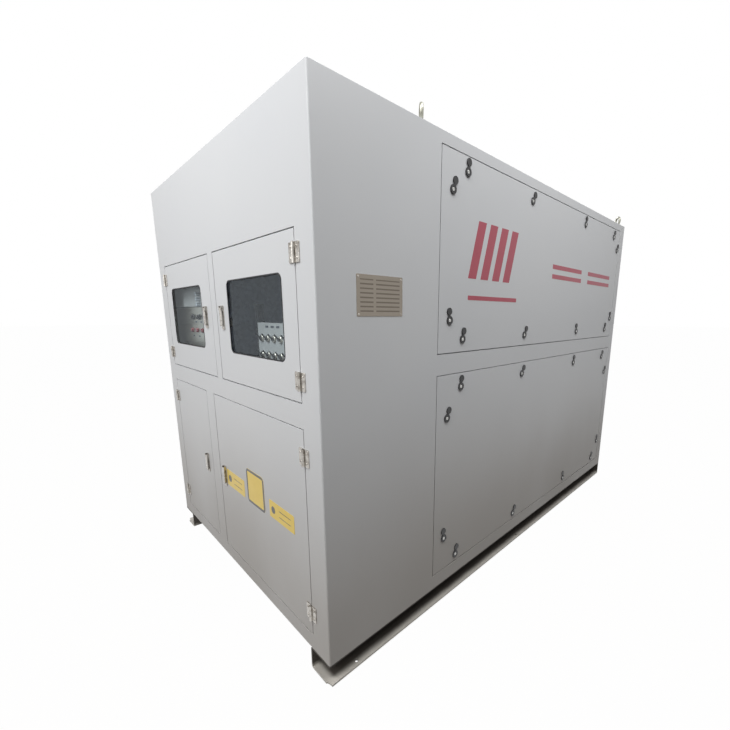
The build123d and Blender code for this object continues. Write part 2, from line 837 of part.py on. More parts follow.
# Fan plates: one upright sheet in each tier, with a bellmouth and duct per fan.
with BuildPart() as fan_plates:
    for low, high in tiers.values():
        with BuildSketch(Plane.YZ.offset(fan_plate_x)):
            with Locations((chamber_centre_y, (low + high) / 2)):
                Rectangle(chamber_length, high - low)
                with GridLocations(fan_pitch, 0, 2, 1):
                    Circle(fan_opening_radius + bellmouth_radius, mode=Mode.SUBTRACT)
        extrude(amount=inner_sheet)
    for y, z in fan_places:
        duct_plane = Plane(origin=(fan_plate_x, y, z), x_dir=(0, 1, 0), z_dir=(1, 0, 0))
        profile_plane = Plane(origin=(fan_plate_x, y, z), x_dir=(1, 0, 0), z_dir=(0, -1, 0))
        with BuildSketch(profile_plane):
            with BuildLine():
                throat_x = bellmouth_radius + inner_sheet
                Polyline(
                    (throat_x, fan_opening_radius),
                    (fan_duct_length, fan_opening_radius),
                    (fan_duct_length, fan_opening_radius + inner_sheet),
                    (throat_x, fan_opening_radius + inner_sheet),
                )
                RadiusArc(
                    (throat_x, fan_opening_radius + inner_sheet),
                    (inner_sheet, fan_opening_radius + throat_x),
                    -bellmouth_radius,
                )
                Polyline(
                    (inner_sheet, fan_opening_radius + throat_x),
                    (0, fan_opening_radius + throat_x),
                )
                RadiusArc(
                    (0, fan_opening_radius + throat_x),
                    (throat_x, fan_opening_radius),
                    throat_x,
                )
            make_face()
        revolve(axis=Axis((fan_plate_x, y, z), (1, 0, 0)))
fan_plates.part.label = "fan_plates"
export_step(fan_plates.part, "parts/fan_plates.step")


def impeller(y, z):
    """Axial impeller: a hub with its shaft and twisted blades."""
    centre_x = fan_plate_x + impeller_setback + blade_tip_width / 2
    with BuildPart() as wheel:
        with BuildSketch(Plane.YZ.offset(centre_x - hub_width / 2)):
            with Locations((y, z)):
                Circle(hub_radius)
        extrude(amount=hub_width)
        fillet(wheel.faces().sort_by(Axis.X)[-1].edges(), hub_edge_radius)
        with BuildSketch(Plane.YZ.offset(centre_x - hub_width / 2)):
            with Locations((y, z)):
                Circle(shaft_radius)
        extrude(amount=-shaft_length)
        for blade in range(blade_count):
            turn = 360 / blade_count * blade
            root = Plane(origin=(centre_x, y, z), x_dir=(1, 0, 0), z_dir=(0, 0, 1))
            root = root.rotated((turn, 0, 0), ordering=Extrinsic.XYZ)
            with BuildSketch(root.offset(hub_radius - blade_root_embed)):
                SlotOverall(blade_root_width, blade_thickness, rotation=blade_root_angle)
            with BuildSketch(root.offset(impeller_radius - blade_tip_gap)):
                SlotOverall(blade_tip_width, blade_thickness, rotation=blade_tip_angle)
            loft(ruled=True)
    return wheel.part


for fan_name, (y, z) in zip(fan_names, fan_places):
    save(impeller(y, z), f"impeller_{fan_name}")

# Fan motors: flange motors on two rails across the inlet side of each plate.
motor_face_x = fan_plate_x - motor_rail_depth - motor_flange_thickness
rail_height = 2 * (fan_opening_radius + bellmouth_radius + motor_rail_overrun)
rail_offset = motor_flange / 2 - motor_rail_width / 2
bearing_depth = shaft_length - (impeller_setback + blade_tip_width / 2 - hub_width / 2)
with BuildPart() as fan_motors:
    for y, z in fan_places:
        with BuildSketch(Plane.YZ.offset(fan_plate_x - motor_rail_depth)):
            with Locations((y, z)):
                with GridLocations(2 * rail_offset, 0, 2, 1):
                    Rectangle(motor_rail_width, rail_height)
        extrude(amount=motor_rail_depth)
        with BuildSketch(Plane.YZ.offset(motor_face_x)):
            with Locations((y, z)):
                RectangleRounded(motor_flange, motor_flange, motor_flange_corner)
        extrude(amount=motor_flange_thickness)
        with BuildSketch(Plane.YZ.offset(motor_face_x)):
            with Locations((y, z)):
                Circle(motor_radius)
        extrude(amount=-motor_length)
        with BuildSketch(Plane.YZ.offset(motor_face_x + motor_flange_thickness)):
            with Locations((y, z)):
                Circle(shaft_radius + running_clearance)
        extrude(amount=-bearing_depth, mode=Mode.SUBTRACT)
fan_motors.part.label = "fan_motors"
export_step(fan_motors.part, "parts/fan_motors.step")

# ---------------------------------------------------------------- resistors
# Cradles: each tier has two pierced end plates carried on four tube rails.
cradle_centre_x = cradle_front + cradle_width / 2
rail_pitch_x = cradle_width - cradle_rail
with BuildPart() as element_cradles:
    for low, high in tiers.values():
        tier_middle = (low + high) / 2
        with BuildSketch(Plane.XZ.offset(-bulkhead_rear)):
            for rail_z in (low + cradle_rail / 2, high - cradle_rail / 2):
                with Locations((cradle_centre_x, rail_z)):
                    with GridLocations(rail_pitch_x, 0, 2, 1):
                        Rectangle(cradle_rail, cradle_rail)
                        Rectangle(
                            cradle_rail - 2 * cradle_rail_wall,
                            cradle_rail - 2 * cradle_rail_wall,
                            mode=Mode.SUBTRACT,
                        )
        extrude(amount=-chamber_length)
        for plate_y in (bulkhead_rear + cradle_end_inset, rear_inside - cradle_end_inset):
            with BuildSketch(Plane.XZ.offset(-plate_y)):
                with Locations((cradle_centre_x, tier_middle)):
                    Rectangle(cradle_width, high - low - 2 * cradle_rail)
                    with GridLocations(
                        element_column_pitch, element_row_pitch, element_columns, element_rows
                    ):
                        Circle(element_radius + element_clearance, mode=Mode.SUBTRACT)
            extrude(amount=cradle_plate / 2, both=True)
element_cradles.part.label = "element_cradles"
export_step(element_cradles.part, "parts/element_cradles.step")

# Resistor elements: straight tubes through the cradle plates, with a terminal
# pin at the cabin end.
tube_start = bulkhead_rear + cradle_end_inset - cradle_overhang
tube_length = chamber_length - 2 * (cradle_end_inset - cradle_overhang)
with BuildPart() as heating_elements:
    for low, high in tiers.values():
        with BuildSketch(Plane.XZ.offset(-tube_start)):
            with Locations((cradle_centre_x, (low + high) / 2)):
                with GridLocations(
                    element_column_pitch, element_row_pitch, element_columns, element_rows
                ):
                    Circle(element_radius)
        extrude(amount=-tube_length)
        with BuildSketch(Plane.XZ.offset(-tube_start)):
            with Locations((cradle_centre_x, (low + high) / 2)):
                with GridLocations(
                    element_column_pitch, element_row_pitch, element_columns, element_rows
                ):
                    Circle(element_pin_radius)
        extrude(amount=element_pin_length)
heating_elements.part.label = "heating_elements"
export_step(heating_elements.part, "parts/heating_elements.step")


# ------------------------------------------------------------- instruments
def flanged_panel(left, right, bottom, top, setback):
    """Upright inner panel whose edges are turned back towards the rear."""
    panel_plane = front_plane.offset(-setback)
    centre = ((left + right) / 2, (bottom + top) / 2)
    with BuildPart() as panel:
        with BuildSketch(panel_plane):
            with Locations(centre):
                Rectangle(right - left, top - bottom)
        extrude(amount=-panel_flange)
        with BuildSketch(panel_plane.offset(-door_sheet)):
            with Locations(centre):
                Rectangle(right - left - 2 * door_sheet, top - bottom - 2 * door_sheet)
        extrude(amount=-panel_flange, mode=Mode.SUBTRACT)
    return panel.part


control_plane = front_plane.offset(-control_plate_setback)
left_room = (-wall_inside, upper_divider_x - inner_sheet / 2)
lamp_xs = [lamp_centre_x + step * lamp_pitch for step in (-1, 0, 1)]
knob_xs = [knob_centre_x + step * knob_pitch / 2 for step in (-1, 1)]

with BuildPart() as control_plate:
    add(flanged_panel(*left_room, shelf_top, control_plate_top, control_plate_setback))
    with BuildSketch(control_plane):
        for knob_x in knob_xs:
            with Locations((knob_x, knob_row_z)):
                Circle(knob_spindle_radius + running_clearance)
    extrude(amount=-door_sheet, mode=Mode.SUBTRACT)
control_plate.part.label = "control_plate"
export_step(control_plate.part, "parts/control_plate.step")

relay_panel_bottom = control_plate_top + relay_panel_gap
relay_panel_top = relay_panel_bottom + relay_panel_height
with BuildPart() as relay_panel:
    add(flanged_panel(*left_room, relay_panel_bottom, relay_panel_top, control_plate_setback))
relay_panel.part.label = "relay_panel"
export_step(relay_panel.part, "parts/relay_panel.step")

with BuildPart() as relay_modules:
    with BuildSketch(control_plane):
        with Locations((relay_x, relay_top_z - relay_pitch)):
            with GridLocations(0, relay_pitch, 1, 3):
                Rectangle(relay_size, relay_size)
    extrude(amount=relay_size)
    chamfer(relay_modules.faces().group_by(Axis.Y)[0].edges(), relay_chamfer)
relay_modules.part.label = "relay_modules"
export_step(relay_modules.part, "parts/relay_modules.step")

with BuildPart() as indicator_lamps:
    with BuildSketch(control_plane):
        for lamp_x in lamp_xs:
            with Locations((lamp_x, lamp_row_z)):
                Circle(lamp_bezel_radius)
    extrude(amount=lamp_height / 4)
    with BuildSketch(control_plane.offset(lamp_height / 4)):
        for lamp_x in lamp_xs:
            with Locations((lamp_x, lamp_row_z)):
                Circle(lamp_radius)
    extrude(amount=lamp_height * 3 / 4)
    fillet(indicator_lamps.faces().group_by(Axis.Y)[0].edges(), lamp_height / 3)
indicator_lamps.part.label = "indicator_lamps"
export_step(indicator_lamps.part, "parts/indicator_lamps.step")

for knob_name, knob_x in zip(("left", "right"), knob_xs):
    with BuildPart() as knob:
        with BuildSketch(control_plane.offset(lever_seat_gap)):
            with Locations((knob_x, knob_row_z)):
                Circle(knob_radius)
        extrude(amount=knob_height / 2)
        with BuildSketch(control_plane.offset(lever_seat_gap + knob_height / 2)):
            with Locations((knob_x, knob_row_z)):
                Rectangle(2 * (knob_radius - knob_grip_inset), knob_grip, rotation=knob_rest_turn)
        extrude(amount=knob_height / 2)
        with BuildSketch(control_plane.offset(lever_seat_gap)):
            with Locations((knob_x, knob_row_z)):
                Circle(knob_spindle_radius)
        extrude(amount=-knob_height)
    save(knob.part, f"selector_knob_{knob_name}")

# Switch panel: a low panel with rows of round-bezel lever switches.
switch_plane = front_plane.offset(-switch_panel_setback)
with BuildPart() as switch_panel:
    add(
        flanged_panel(
            switch_panel_left, wall_inside, shelf_top, switch_panel_top, switch_panel_setback
        )
    )
switch_panel.part.label = "switch_panel"
export_step(switch_panel.part, "parts/switch_panel.step")

switch_places = [
    (switch_first_x + column * switch_pitch, z)
    for z in switch_rows_z
    for column in range(switch_columns)
]
with BuildPart() as switch_bezels:
    with BuildSketch(switch_plane):
        for place in switch_places:
            with Locations(place):
                Circle(switch_bezel_radius)
    extrude(amount=switch_bezel_height)
    chamfer(switch_bezels.faces().group_by(Axis.Y)[0].edges(), switch_bezel_chamfer)
switch_bezels.part.label = "switch_bezels"
export_step(switch_bezels.part, "parts/switch_bezels.step")

with BuildPart() as switch_levers:
    for switch_x, switch_z in switch_places:
        with BuildSketch(switch_plane.offset(switch_bezel_height)):
            with Locations((switch_x, switch_z)):
                Circle(switch_boss_radius)
        extrude(amount=switch_boss_height)
        lever_plane = Plane(
            origin=(
                switch_x,
                switch_plane.origin.Y - switch_bezel_height - switch_boss_height / 2,
                switch_z,
            ),
            x_dir=(1, 0, 0),
            z_dir=(0, -1, 0),
        ).rotated((-switch_lever_angle, 0, 0))
        with BuildSketch(lever_plane):
            Circle(switch_lever_radius)
        extrude(amount=switch_lever_length)
switch_levers.part.label = "switch_levers"
export_step(switch_levers.part, "parts/switch_levers.step")

# ------------------------------------------------------------- power parts
# Terminal board: insulating board held off the bulkhead, with copper bars.
board_face_y = bulkhead_y - board_standoff - board_thickness
board_plane = Plane(origin=(0, board_face_y, 0), x_dir=(1, 0, 0), z_dir=(0, -1, 0))
lower_right_middle = (lower_divider_x + inner_sheet / 2 + wall_inside) / 2
board_z = floor_top + board_rise + board_height / 2
with BuildPart() as terminal_board:
    with BuildSketch(board_plane):
        with Locations((lower_right_middle, board_z)):
            Rectangle(board_width, board_height)
    extrude(amount=-board_thickness)
    with BuildSketch(board_plane.offset(-board_thickness)):
        with Locations((lower_right_middle, board_z)):
            with GridLocations(board_width - 2 * standoff_inset, board_height - 2 * standoff_inset, 2, 2):
                Circle(standoff_radius)
    extrude(amount=-board_standoff)
terminal_board.part.label = "terminal_board"
export_step(terminal_board.part, "parts/terminal_board.step")

with BuildPart() as busbars:
    with BuildSketch(board_plane):
        with Locations((lower_right_middle, board_z)):
            with GridLocations(busbar_pitch, 0, busbar_count, 1):
                Rectangle(busbar_width, busbar_height)
    extrude(amount=busbar_thickness)
    with BuildSketch(board_plane.offset(busbar_thickness)):
        with Locations((lower_right_middle, board_z)):
            with GridLocations(busbar_pitch, busbar_height - 2 * terminal_bolt_inset, busbar_count, 2):
                RegularPolygon(terminal_bolt_radius, 6)
    extrude(amount=terminal_bolt_length)
busbars.part.label = "busbars"
export_step(busbars.part, "parts/busbars.step")

contactor_plane = Plane(origin=(0, bulkhead_y, 0), x_dir=(1, 0, 0), z_dir=(0, -1, 0))
lower_left_middle = (lower_divider_x - inner_sheet / 2 - wall_inside) / 2
with BuildPart() as contactors:
    with BuildSketch(contactor_plane):
        with Locations((lower_left_middle, (floor_top + shelf_top) / 2)):
            with GridLocations(
                contactor_pitch_x, contactor_pitch_z, contactor_columns, contactor_rows
            ):
                Rectangle(contactor_width, contactor_height)
    extrude(amount=contactor_base_depth)
    with BuildSketch(contactor_plane.offset(contactor_base_depth)):
        with Locations((lower_left_middle, (floor_top + shelf_top) / 2)):
            with GridLocations(
                contactor_pitch_x, contactor_pitch_z, contactor_columns, contactor_rows
            ):
                Rectangle(contactor_width, contactor_top_height)
    extrude(amount=contactor_depth - contactor_base_depth)
contactors.part.label = "contactors"
export_step(contactors.part, "parts/contactors.step")


# ------------------------------------------------------------- lifting eyes
def lifting_eye(x, y, turn, ring_radius, rod_radius, collar_radius, collar_height):
    """Eye bolt: a collar on the roof and a round ring standing on it."""
    ring_z = body_top + collar_height + ring_radius
    ring_plane = Plane(origin=(x, y, ring_z), x_dir=(0, 0, -1), z_dir=(1, 0, 0))
    ring_plane = ring_plane.rotated((0, 0, turn), ordering=Extrinsic.XYZ)
    with BuildPart() as eye:
        with BuildSketch(Plane.XY.offset(body_top)):
            with Locations((x, y)):
                Circle(collar_radius)
        extrude(amount=collar_height)
        section = Plane(origin=ring_plane.origin, x_dir=ring_plane.x_dir, z_dir=ring_plane.y_dir)
        with BuildSketch(section):
            with Locations((ring_radius, 0)):
                Circle(rod_radius)
        revolve(axis=Axis(ring_plane.origin, ring_plane.z_dir))
    return eye.part


eye_x = half_width - eye_side_inset
eye_ys = (front_y + eye_front_inset, half_length - eye_rear_inset)
eye_sizes = (eye_ring_radius, eye_rod_radius, eye_collar_radius, eye_collar_height)
small_eye_sizes = (
    small_eye_ring_radius,
    small_eye_rod_radius,
    small_eye_collar_radius,
    small_eye_collar_height,
)
with BuildPart() as lifting_eyes:
    for side in (-1, 1):
        for eye_y in eye_ys:
            add(lifting_eye(side * eye_x, eye_y, eye_turn, *eye_sizes))
    small_eye_y = front_y + small_eye_front_inset
    add(lifting_eye(small_eye_x, small_eye_y, small_eye_turn, *small_eye_sizes))
lifting_eyes.part.label = "lifting_eyes"
export_step(lifting_eyes.part, "parts/lifting_eyes.step")
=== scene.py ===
import json
import math

import bmesh
import bpy
from mathutils import Matrix, Vector


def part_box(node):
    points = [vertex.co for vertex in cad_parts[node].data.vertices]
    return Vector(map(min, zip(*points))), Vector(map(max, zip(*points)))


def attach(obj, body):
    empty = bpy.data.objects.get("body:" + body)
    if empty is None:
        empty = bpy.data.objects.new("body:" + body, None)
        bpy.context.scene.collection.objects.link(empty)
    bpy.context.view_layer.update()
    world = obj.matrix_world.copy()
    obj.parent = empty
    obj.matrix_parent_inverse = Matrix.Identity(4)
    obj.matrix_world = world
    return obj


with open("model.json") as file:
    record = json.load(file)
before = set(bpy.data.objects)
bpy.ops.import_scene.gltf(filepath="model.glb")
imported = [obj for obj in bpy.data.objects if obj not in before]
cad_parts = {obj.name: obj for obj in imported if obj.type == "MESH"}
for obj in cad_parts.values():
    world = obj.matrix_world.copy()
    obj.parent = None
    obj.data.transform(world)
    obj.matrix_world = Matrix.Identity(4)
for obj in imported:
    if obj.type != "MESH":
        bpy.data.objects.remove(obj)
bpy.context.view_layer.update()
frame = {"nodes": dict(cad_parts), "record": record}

# ---------------------------------------------------------------- skids and floor
# Two channels bent from 8 mm plate carry the bank, with box tubes and a plate
# floor welded across them. Their paint is dark with painted shade on the webs and
# the inner part of the bottom flanges, and light grey with painted light on the
# outer edge and the front end of the bottom flanges. Random dirt mottles both tones.


def colour(red, green, blue):
    """A colour given as it looks on a screen, 0 to 255, in the linear values that shaders use."""
    shares = [level / 255 for level in (red, green, blue)]
    linear = [share / 12.92 if share < 0.04 else ((share + 0.055) / 1.055) ** 2.4 for share in shares]
    return (*linear, 1)


class Wire:
    """A node's output, on which Python arithmetic adds Math nodes."""

    def __init__(self, nodes, socket):
        self.nodes = nodes
        self.socket = socket

    def maths(self, operation, *values):
        return self.nodes.node("ShaderNodeMath", {"operation": operation}, dict(enumerate(values)))

    def __abs__(self):
        return self.maths("ABSOLUTE", self)

    def __add__(self, other):
        return self.maths("ADD", self, other)

    def __radd__(self, other):
        return self.maths("ADD", other, self)

    def __sub__(self, other):
        return self.maths("SUBTRACT", self, other)

    def __rsub__(self, other):
        return self.maths("SUBTRACT", other, self)

    def __mul__(self, other):
        return self.maths("MULTIPLY", self, other)

    def __rmul__(self, other):
        return self.maths("MULTIPLY", other, self)

    def __mod__(self, other):
        return self.maths("FLOORED_MODULO", self, other)

    def __rmod__(self, other):
        return self.maths("FLOORED_MODULO", other, self)

    def __lt__(self, other):
        return self.maths("LESS_THAN", self, other)

    def __gt__(self, other):
        return self.maths("GREATER_THAN", self, other)


class Nodes:
    """A node tree, in which every node comes from one method."""

    def __init__(self, tree):
        self.tree = tree

    def node(self, kind, settings, sockets, output=0):
        """One node: its settings first, then what its sockets hold. Returns one of its outputs."""
        made = self.tree.nodes.new(kind)
        for setting, value in settings.items():
            setattr(made, setting, value)
        for socket, value in sockets.items():
            if isinstance(value, Wire):
                self.tree.links.new(value.socket, made.inputs[socket])
            else:
                made.inputs[socket].default_value = value
        return Wire(self, made.outputs[output])

    def show(self, shader):
        """Links a shader to the tree's own output."""
        outputs = [node for node in self.tree.nodes if node.type.startswith("OUTPUT")]
        self.tree.links.new(shader.socket, outputs[0].inputs["Surface"])


class Finish(Nodes):
    """A node material. Values that are the same all over go on the shader's own sockets."""

    def __init__(self, name, fixed):
        self.material = bpy.data.materials.new(name)
        self.material.use_nodes = True
        super().__init__(self.material.node_tree)
        self.shader = self.tree.nodes["Principled BSDF"]
        for socket, value in fixed.items():
            self.shader.inputs[socket].default_value = value
        self.place = self.node("ShaderNodeTexCoord", {}, {}, "Object")

    def feed(self, socket, wire):
        self.tree.links.new(wire.socket, self.shader.inputs[socket])

    def noise(self, scale, detail=2.0, stretch=(1, 1, 1)):
        """Cloudy noise of about 1/scale metres, from 0 to 1, stretched along the small axes."""
        spread = self.node("ShaderNodeVectorMath", {"operation": "MULTIPLY"}, {0: self.place, 1: stretch})
        return self.node("ShaderNodeTexNoise", {}, {"Vector": spread, "Scale": scale, "Detail": detail})

    def part(self, value, low, high):
        """A mask that goes from 0 at low to 1 at high."""
        sockets = {"Value": value, "From Min": low, "From Max": high}
        return self.node("ShaderNodeMapRange", {"interpolation_type": "SMOOTHSTEP"}, sockets)

    def axis(self, letter):
        """One of the part's own coordinates, in metres."""
        return self.node("ShaderNodeSeparateXYZ", {}, {0: self.place}, letter)

    def blend(self, share, first, second):
        """A colour that goes from first to second as share goes from 0 to 1."""
        return self.node("ShaderNodeMix", {"data_type": "RGBA"}, {0: share, 6: first, 7: second}, 2)

    def relief(self, *layers):
        """Bumps the surface by each (height, depth in metres)."""
        normal = None
        for height, depth in layers:
            sockets = {"Height": height, "Distance": depth}
            if normal:
                sockets["Normal"] = normal
            normal = self.node("ShaderNodeBump", {}, sockets)
        self.feed("Normal", normal)


def dress(slot, finish):
    """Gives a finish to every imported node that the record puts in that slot."""
    for part in frame["record"]["subparts"]:
        if part["material_slot"] == slot:
            mesh = frame["nodes"][part["node"]].data
            mesh.materials.clear()
            mesh.materials.append(finish.material)


skid_paint = Finish("skid_paint", {"Specular IOR Level": 0.4})
dirt = skid_paint.noise(9, detail=6)
skid_low, skid_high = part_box("skid_right")
flange_level, web_level = 0.010, 0.030
edge_light_start, edge_light_full = skid_high.x - 0.034, skid_high.x - 0.002
front_light_start, front_light_full = skid_low.y + 0.045, skid_low.y + 0.015
# The dark tone is painted shade on the web and the inner flange. The light tone is painted light where the
# outer edge and the front end of the bottom flange catch the lamps.
on_flange = skid_paint.part(skid_paint.axis("Z") + dirt * 0.006, web_level, flange_level)
outer_edge = skid_paint.part(abs(skid_paint.axis("X")) + dirt * 0.008, edge_light_start, edge_light_full)
front_end = skid_paint.part(skid_paint.axis("Y"), front_light_start, front_light_full)
painted_light_mask = on_flange * (outer_edge + front_end)
painted_shade_tone = skid_paint.blend(dirt, colour(58, 53, 48), colour(74, 69, 63))
painted_light_tone = skid_paint.blend(dirt, colour(168, 163, 155), colour(196, 192, 184))
skid_paint.feed("Base Color", skid_paint.blend(painted_light_mask, painted_shade_tone, painted_light_tone))
skid_paint.feed("Roughness", 0.6 - painted_light_mask * 0.2)
skid_paint.relief((skid_paint.noise(260), 0.0002), (dirt, 0.0006))
dress("base_paint", skid_paint)

# ------------------------------------------------------- enclosure, doors, covers
# The body, its four doors and its side covers are folded 2 and 3 mm sheet, powder
# coated light grey. The coat has a fine orange peel and the wide sheets are faintly wavy.

powder_coat = Finish("powder_coat", {"Specular IOR Level": 0.4})
cloud = powder_coat.noise(1.6, detail=4)
grime = powder_coat.noise(1.3, detail=4, stretch=(1, 1, 0.5))
# Painted shade: the coat turns darker and browner towards the bottom, for the dark ground below. A patchy
# mask there, partly dust and partly painted shade, darkens it further.
shade_top, shade_foot = 1.3, 0.05
painted_shade_below = powder_coat.part(powder_coat.axis("Z"), shade_top, shade_foot)
dust_and_painted_shade = powder_coat.part(grime + painted_shade_below * 0.45, 0.4, 1.1) * painted_shade_below
coated = powder_coat.blend(cloud, colour(200, 202, 205), colour(207, 208, 209))
coat_with_painted_shade = powder_coat.blend(painted_shade_below * 0.42, coated, colour(142, 134, 124))
powder_coat.feed("Base Color", powder_coat.blend(dust_and_painted_shade * 0.3, coat_with_painted_shade, colour(138, 127, 112)))
powder_coat.feed("Roughness", 0.34 + cloud * 0.08 + dust_and_painted_shade * 0.25)
powder_coat.relief(
    (powder_coat.noise(1.9, detail=1), 0.0035),
    (powder_coat.noise(240, detail=3), 0.00012),
)
dress("paint", powder_coat)

# ------------------------------------------------- inner sheets, grilles, fan plates
# Bulkhead, shelf, dividers, deck, fan plates, element cradles and grilles are hot
# dip galvanised. The zinc has frozen in flat crystals, each with its own grey.

zinc = Finish("galvanised_sheet", {"Metallic": 0.85})
crystal = zinc.node("ShaderNodeTexVoronoi", {}, {"Vector": zinc.place, "Scale": 70}, "Color")
lightness = zinc.node("ShaderNodeSeparateColor", {}, {0: crystal}, "Red")
zinc.feed("Base Color", zinc.blend(lightness, colour(156, 164, 180), colour(180, 187, 201)))
zinc.feed("Roughness", 0.24 + lightness * 0.06 + zinc.noise(14, detail=5) * 0.1)
zinc.relief((zinc.noise(9, detail=2), 0.0012), (lightness, 0.00003))
dress("galvanised", zinc)

# ------------------------------------------------------------------------- fans
# Four axial fans pull air through the bank. Each wheel is a cast aluminium hub with
# twisted blades, on the shaft of a motor in dark enamel that sits on two rails.

cast_blade = Finish("cast_aluminium", {"Metallic": 0.9})
sand = cast_blade.noise(380, detail=3)
cast_blade.feed("Base Color", cast_blade.blend(sand, colour(150, 152, 156), colour(178, 180, 183)))
cast_blade.feed("Roughness", 0.38 + cast_blade.noise(22, detail=5) * 0.2)
cast_blade.relief((sand, 0.0003))
dress("fan_blade", cast_blade)

motor_enamel = Finish("motor_enamel", {"Coat Weight": 0.3, "Coat Roughness": 0.2})
chalky = motor_enamel.noise(18, detail=5)
motor_enamel.feed("Base Color", motor_enamel.blend(chalky, colour(52, 62, 74), colour(70, 80, 92)))
motor_enamel.feed("Roughness", 0.35 + chalky * 0.2)
motor_enamel.relief((motor_enamel.noise(320), 0.0002))
dress("motor_paint", motor_enamel)

# --------------------------------------------------------------------- resistors
# The load itself is rows of sheathed heating tubes. Their nickel alloy sheaths
# have turned straw, brown and blue-grey in patches where they have run hot.

sheath = Finish("heated_alloy_sheath", {"Metallic": 0.8})
heat = sheath.part(sheath.noise(3, detail=3), 0.3, 0.75)
ring_mark = sheath.noise(40, detail=3, stretch=(0.1, 1, 0.1))
warm = sheath.blend(heat, colour(104, 88, 70), colour(78, 76, 82))
sheath.feed("Base Color", sheath.blend(ring_mark * 0.5, warm, colour(132, 110, 84)))
sheath.feed("Roughness", 0.42 + ring_mark * 0.2)
sheath.relief((sheath.noise(500), 0.0002))
dress("element_alloy", sheath)

# ------------------------------------------------- terminals, busbars, contactors
# The generator's cables come to copper bars on a laminate board in the lower
# cabin, and black moulded contactors switch the load steps beside it.

laminate = Finish("terminal_laminate", {"Coat Weight": 0.25, "Coat Roughness": 0.25})
fibre = laminate.noise(120, detail=4, stretch=(1, 1, 0.12))
laminate.feed("Base Color", laminate.blend(fibre, colour(92, 52, 36), colour(128, 76, 50)))
laminate.feed("Roughness", 0.4 + fibre * 0.15)
laminate.relief((fibre, 0.0002))
dress("board_laminate", laminate)

bar_copper = Finish("bar_copper", {"Metallic": 1.0})
tarnish = bar_copper.part(bar_copper.noise(16, detail=6), 0.35, 0.75)
bar_copper.feed("Base Color", bar_copper.blend(tarnish, colour(206, 132, 92), colour(150, 92, 66)))
bar_copper.feed("Roughness", 0.24 + tarnish * 0.25)
bar_copper.relief((bar_copper.noise(200, stretch=(1, 1, 0.05)), 0.0001))
dress("copper", bar_copper)

moulding = Finish("contactor_moulding", {"Specular IOR Level": 0.45})
spark = moulding.noise(700, detail=1)
moulding.feed("Base Color", moulding.blend(moulding.noise(9), colour(44, 45, 48), colour(58, 59, 62)))
moulding.feed("Roughness", 0.45 + spark * 0.15)
moulding.relief((spark, 0.0002))
dress("contactor_plastic", moulding)

# ------------------------------------------------------------------- instruments
# Behind the left window a bare steel plate holds lamps and knobs, below a painted
# panel with relay modules. Behind the right one a painted panel holds two rows of
# six lever switches in bare steel bezels.

stainless = Finish("brushed_stainless", {"Metallic": 1.0})
brushed = stainless.noise(900, detail=2, stretch=(1, 0.02, 1))
stainless.feed("Base Color", stainless.blend(brushed, colour(172, 164, 150), colour(196, 189, 176)))
stainless.feed("Roughness", 0.26 + brushed * 0.16)
stainless.relief((brushed, 0.00008))
dress("stainless", stainless)

panel_coat = Finish("instrument_panel_coat", {"Specular IOR Level": 0.4})
panel_grain = panel_coat.noise(420, detail=2)
panel_cloud = panel_coat.noise(4, detail=3)
panel_coat.feed("Base Color", panel_coat.blend(panel_cloud, colour(176, 174, 170), colour(188, 186, 182)))
panel_coat.feed("Roughness", 0.4 + panel_grain * 0.12)
panel_coat.relief((panel_grain, 0.00015))
dress("panel_paint", panel_coat)

relay_case = Finish("relay_case", {"Specular IOR Level": 0.5})
relay_slot_pitch, relay_slot_height = 0.009, 0.0022
relay_row = relay_case.axis("Z") % relay_slot_pitch < relay_slot_height
relay_tone = relay_case.blend(relay_case.noise(30), colour(196, 200, 206), colour(210, 213, 217))
relay_case.feed("Base Color", relay_case.blend(relay_row, relay_tone, colour(70, 74, 82)))
relay_case.feed("Roughness", 0.35 + relay_case.noise(300) * 0.1)
relay_case.relief((relay_row * -1, 0.0004))
dress("relay_plastic", relay_case)

lamp_lens = Finish("red_lamp_lens", {"Coat Weight": 0.8, "Coat Roughness": 0.05})
rib_pitch, rib_valley, rib_crest = 0.002, 0.0002, 0.0016
lens_rib = lamp_lens.part(lamp_lens.axis("Z") % rib_pitch, rib_valley, rib_crest)
lamp_lens.feed("Base Color", lamp_lens.blend(lens_rib, colour(112, 8, 22), colour(158, 20, 34)))
lamp_lens.feed("Roughness", 0.16 + lens_rib * 0.1)
lamp_lens.relief((lens_rib, 0.0003))
dress("red_lens", lamp_lens)

knob_black = Finish("knob_black", {"Specular IOR Level": 0.5})
knob_grain = knob_black.noise(600)
knob_black.feed("Base Color", knob_black.blend(knob_grain, colour(17, 17, 19), colour(28, 28, 30)))
knob_black.feed("Roughness", 0.32 + knob_grain * 0.15)
knob_black.relief((knob_grain, 0.00015))
dress("knob_plastic", knob_black)


def block(name, low, high, rounding, finish):
    """A rectangular piece between two corners, with its edges rounded off."""
    low, high = Vector(low), Vector(high)
    mesh = bmesh.new()
    bmesh.ops.create_cube(mesh, size=1, matrix=Matrix.Translation((low + high) / 2))
    for vertex in mesh.verts:
        for axis in range(3):
            vertex.co[axis] = low[axis] if vertex.co[axis] < (low[axis] + high[axis]) / 2 else high[axis]
    bmesh.ops.bevel(mesh, geom=mesh.edges, offset=rounding, segments=2, affect="EDGES", profile=0.5)
    return finished(name, mesh, finish)


def finished(name, mesh, finish):
    """Makes an object of a bmesh, shaded smooth across its rounded edges."""
    bmesh.ops.recalc_face_normals(mesh, faces=mesh.faces)
    data = bpy.data.meshes.new(name)
    mesh.to_mesh(data)
    mesh.free()
    data.materials.append(finish.material)
    piece = bpy.data.objects.new(name, data)
    bpy.context.scene.collection.objects.link(piece)
    for polygon in data.polygons:
        polygon.use_smooth = True
    data.set_sharp_from_angle(angle=math.radians(40))
    return piece


